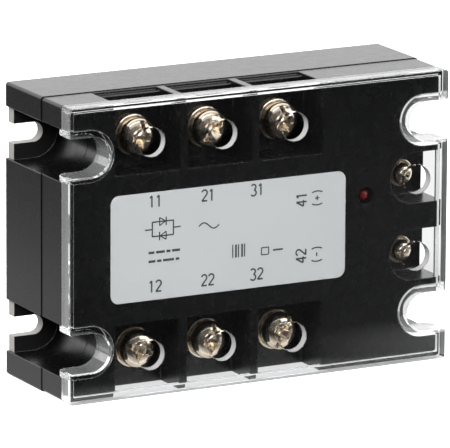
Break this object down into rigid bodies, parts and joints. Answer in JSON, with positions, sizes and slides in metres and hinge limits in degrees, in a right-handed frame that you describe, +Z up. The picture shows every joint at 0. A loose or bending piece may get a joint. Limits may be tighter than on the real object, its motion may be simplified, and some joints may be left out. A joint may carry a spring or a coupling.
{
  "type": "solid state relay",
  "caption": "Three-phase solid state relay: black housing on an aluminium base plate, clear front cover, screw terminals for load and control, and a red status light.",
  "frame": {"origin": "centre of the base plate's back face, which is the mounting face", "axes": "+X right along the long side as seen from the front, +Z up, and the terminals and clear cover face -Y, so +Y points into the heat sink"},
  "size_m": [0.105, 0.0355, 0.074],
  "materials": {
    "black_plastic": "fine satin moulded",
    "clear_plastic": "clear polished",
    "label_film": "printed satin film",
    "red_lens": "tinted epoxy",
    "plate_aluminium": "black coated front face, bare cut edges and back",
    "nickel_steel": "nickel plated, bright",
    "plated_brass": "tin plated",
    "copper": "bare copper",
    "silicone": "cured bead",
    "board_laminate": "solder resist",
    "epoxy": "cast",
    "ceramic": "fired alumina",
    "silicon": "metallised chip",
    "tinned_wire": "tinned",
    "component_white": "moulded",
    "component_blue": "dipped film capacitor",
    "component_black": "moulded",
    "component_grey": "lacquered"
  },
  "bodies": {
    "housing_body": {"base_plate": "plate_aluminium", "base_seal": "silicone", "rear_housing": "black_plastic", "front_housing": "black_plastic", "label": "label_film", "indicator_led": "red_lens", "led_leads": "tinned_wire", "circuit_board": "board_laminate", "potting_compound": "epoxy", "thyristor_dies": "silicon", "die_straps": "copper", "gate_leads": "tinned_wire", "optocouplers": "component_white", "snubber_capacitors": "component_blue", "snubber_resistors": "component_grey", "gate_resistors": "component_black", "input_driver": "component_black", "substrate_1": "ceramic", "substrate_2": "ceramic", "substrate_3": "ceramic", "load_busbar_1": "copper", "load_post_1": "plated_brass", "load_busbar_2": "copper", "load_post_2": "plated_brass", "load_busbar_3": "copper", "load_post_3": "plated_brass", "load_busbar_4": "copper", "load_post_4": "plated_brass", "load_busbar_5": "copper", "load_post_5": "plated_brass", "load_busbar_6": "copper", "load_post_6": "plated_brass", "control_post_1": "plated_brass", "control_post_2": "plated_brass"},
    "cover": {"clear_cover": "clear_plastic"},
    "load_clamp_1": {"load_washer_1": "nickel_steel", "load_lock_washer_1": "nickel_steel"},
    "load_screw_1": {"load_screw_1": "nickel_steel"},
    "load_clamp_2": {"load_washer_2": "nickel_steel", "load_lock_washer_2": "nickel_steel"},
    "load_screw_2": {"load_screw_2": "nickel_steel"},
    "load_clamp_3": {"load_washer_3": "nickel_steel", "load_lock_washer_3": "nickel_steel"},
    "load_screw_3": {"load_screw_3": "nickel_steel"},
    "load_clamp_4": {"load_washer_4": "nickel_steel", "load_lock_washer_4": "nickel_steel"},
    "load_screw_4": {"load_screw_4": "nickel_steel"},
    "load_clamp_5": {"load_washer_5": "nickel_steel", "load_lock_washer_5": "nickel_steel"},
    "load_screw_5": {"load_screw_5": "nickel_steel"},
    "load_clamp_6": {"load_washer_6": "nickel_steel", "load_lock_washer_6": "nickel_steel"},
    "load_screw_6": {"load_screw_6": "nickel_steel"},
    "control_clamp_1": {"control_washer_1": "nickel_steel", "control_lock_washer_1": "nickel_steel"},
    "control_screw_1": {"control_screw_1": "nickel_steel"},
    "control_clamp_2": {"control_washer_2": "nickel_steel", "control_lock_washer_2": "nickel_steel"},
    "control_screw_2": {"control_screw_2": "nickel_steel"}
  },
  "joints": [
    {"name": "cover_lift", "type": "slide", "parent": "housing_body", "child": "cover", "axis": [0, -1, 0], "range_m": [0, 0.012]},
    {"name": "load_clamp_1_rise", "type": "slide", "parent": "housing_body", "child": "load_clamp_1", "axis": [0, -1, 0], "range_m": [0, 0.0028]},
    {"name": "load_screw_1_turn", "type": "hinge", "parent": "load_clamp_1", "child": "load_screw_1", "pos_m": [-0.0303, -0.0299, 0.0266], "axis": [0, -1, 0], "range_deg": [0, 1260]},
    {"name": "load_clamp_2_rise", "type": "slide", "parent": "housing_body", "child": "load_clamp_2", "axis": [0, -1, 0], "range_m": [0, 0.0028]},
    {"name": "load_screw_2_turn", "type": "hinge", "parent": "load_clamp_2", "child": "load_screw_2", "pos_m": [-0.01055, -0.0299, 0.0266], "axis": [0, -1, 0], "range_deg": [0, 1260]},
    {"name": "load_clamp_3_rise", "type": "slide", "parent": "housing_body", "child": "load_clamp_3", "axis": [0, -1, 0], "range_m": [0, 0.0028]},
    {"name": "load_screw_3_turn", "type": "hinge", "parent": "load_clamp_3", "child": "load_screw_3", "pos_m": [0.0092, -0.0299, 0.0266], "axis": [0, -1, 0], "range_deg": [0, 1260]},
    {"name": "load_clamp_4_rise", "type": "slide", "parent": "housing_body", "child": "load_clamp_4", "axis": [0, -1, 0], "range_m": [0, 0.0028]},
    {"name": "load_screw_4_turn", "type": "hinge", "parent": "load_clamp_4", "child": "load_screw_4", "pos_m": [-0.0303, -0.0299, -0.0266], "axis": [0, -1, 0], "range_deg": [0, 1260]},
    {"name": "load_clamp_5_rise", "type": "slide", "parent": "housing_body", "child": "load_clamp_5", "axis": [0, -1, 0], "range_m": [0, 0.0028]},
    {"name": "load_screw_5_turn", "type": "hinge", "parent": "load_clamp_5", "child": "load_screw_5", "pos_m": [-0.01055, -0.0299, -0.0266], "axis": [0, -1, 0], "range_deg": [0, 1260]},
    {"name": "load_clamp_6_rise", "type": "slide", "parent": "housing_body", "child": "load_clamp_6", "axis": [0, -1, 0], "range_m": [0, 0.0028]},
    {"name": "load_screw_6_turn", "type": "hinge", "parent": "load_clamp_6", "child": "load_screw_6", "pos_m": [0.0092, -0.0299, -0.0266], "axis": [0, -1, 0], "range_deg": [0, 1260]},
    {"name": "control_clamp_1_rise", "type": "slide", "parent": "housing_body", "child": "control_clamp_1", "axis": [0, -1, 0], "range_m": [0, 0.0025]},
    {"name": "control_screw_1_turn", "type": "hinge", "parent": "control_clamp_1", "child": "control_screw_1", "pos_m": [0.0438, -0.029, 0.0098], "axis": [0, -1, 0], "range_deg": [0, 1800]},
    {"name": "control_clamp_2_rise", "type": "slide", "parent": "housing_body", "child": "control_clamp_2", "axis": [0, -1, 0], "range_m": [0, 0.0025]},
    {"name": "control_screw_2_turn", "type": "hinge", "parent": "control_clamp_2", "child": "control_screw_2", "pos_m": [0.0438, -0.029, -0.0098], "axis": [0, -1, 0], "range_deg": [0, 1800]}
  ],
  "couplings": [
    {"joint": "load_screw_1_turn", "follows": "load_clamp_1_rise", "rad_per_m": 7854},
    {"joint": "load_screw_2_turn", "follows": "load_clamp_2_rise", "rad_per_m": 7854},
    {"joint": "load_screw_3_turn", "follows": "load_clamp_3_rise", "rad_per_m": 7854},
    {"joint": "load_screw_4_turn", "follows": "load_clamp_4_rise", "rad_per_m": 7854},
    {"joint": "load_screw_5_turn", "follows": "load_clamp_5_rise", "rad_per_m": 7854},
    {"joint": "load_screw_6_turn", "follows": "load_clamp_6_rise", "rad_per_m": 7854},
    {"joint": "control_screw_1_turn", "follows": "control_clamp_1_rise", "rad_per_m": 12566},
    {"joint": "control_screw_2_turn", "follows": "control_clamp_2_rise", "rad_per_m": 12566}
  ]
}
